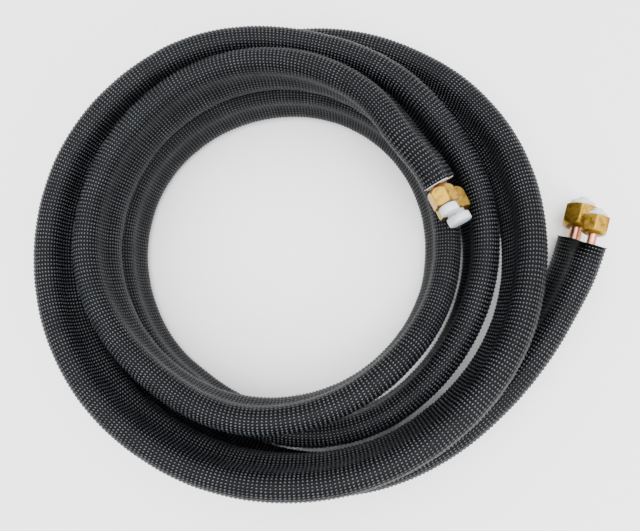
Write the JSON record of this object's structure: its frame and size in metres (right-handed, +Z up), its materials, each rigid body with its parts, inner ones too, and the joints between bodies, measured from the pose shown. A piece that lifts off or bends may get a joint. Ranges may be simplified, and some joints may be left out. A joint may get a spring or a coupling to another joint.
{
  "type": "mini split line set",
  "caption": "Insulated twin copper refrigerant line set in one black ribbed jacket, coiled flat, with brass flare nuts and white plugs on its tube ends.",
  "frame": {"origin": "on the floor under the middle of the whole object's box", "axes": "+Z up, +X to the side where the lower end leaves the coil"},
  "size_m": [0.442, 0.3912, 0.0934],
  "materials": {
    "jacket": "satin, embossed with rows of small beads",
    "foam": "matt closed-cell foam",
    "copper": "bright drawn copper",
    "brass": "bright forged brass",
    "white_plastic": "satin moulded plastic"
  },
  "bodies": {
    "coil": {"outer_jacket": "jacket", "suction_foam": "foam", "liquid_foam": "foam", "suction_tube": "copper", "liquid_tube": "copper"},
    "upper_suction_nut": {"upper_suction_flare_nut": "brass", "upper_suction_plug": "white_plastic"},
    "upper_liquid_nut": {"upper_liquid_flare_nut": "brass", "upper_liquid_plug": "white_plastic"},
    "lower_suction_nut": {"lower_suction_flare_nut": "brass", "lower_suction_plug": "white_plastic"},
    "lower_liquid_nut": {"lower_liquid_flare_nut": "brass", "lower_liquid_plug": "white_plastic"}
  },
  "joints": [
    {"name": "upper_suction_nut_spin", "type": "hinge", "parent": "coil", "child": "upper_suction_nut", "pos_m": [0.10108, 0.02938, 0.05911], "axis": [0.4099, -0.9121, 0.0101], "continuous": true},
    {"name": "upper_liquid_nut_spin", "type": "hinge", "parent": "coil", "child": "upper_liquid_nut", "pos_m": [0.09496, 0.02558, 0.0811], "axis": [0.4099, -0.9121, 0.0101], "continuous": true},
    {"name": "lower_suction_nut_spin", "type": "hinge", "parent": "coil", "child": "lower_suction_nut", "pos_m": [0.20425, 0.0074, 0.01617], "axis": [0.2814, 0.9591, 0.0301], "continuous": true},
    {"name": "lower_liquid_nut_spin", "type": "hinge", "parent": "coil", "child": "lower_liquid_nut", "pos_m": [0.20833, -0.0027, 0.03803], "axis": [0.2814, 0.9591, 0.0301], "continuous": true}
  ]
}
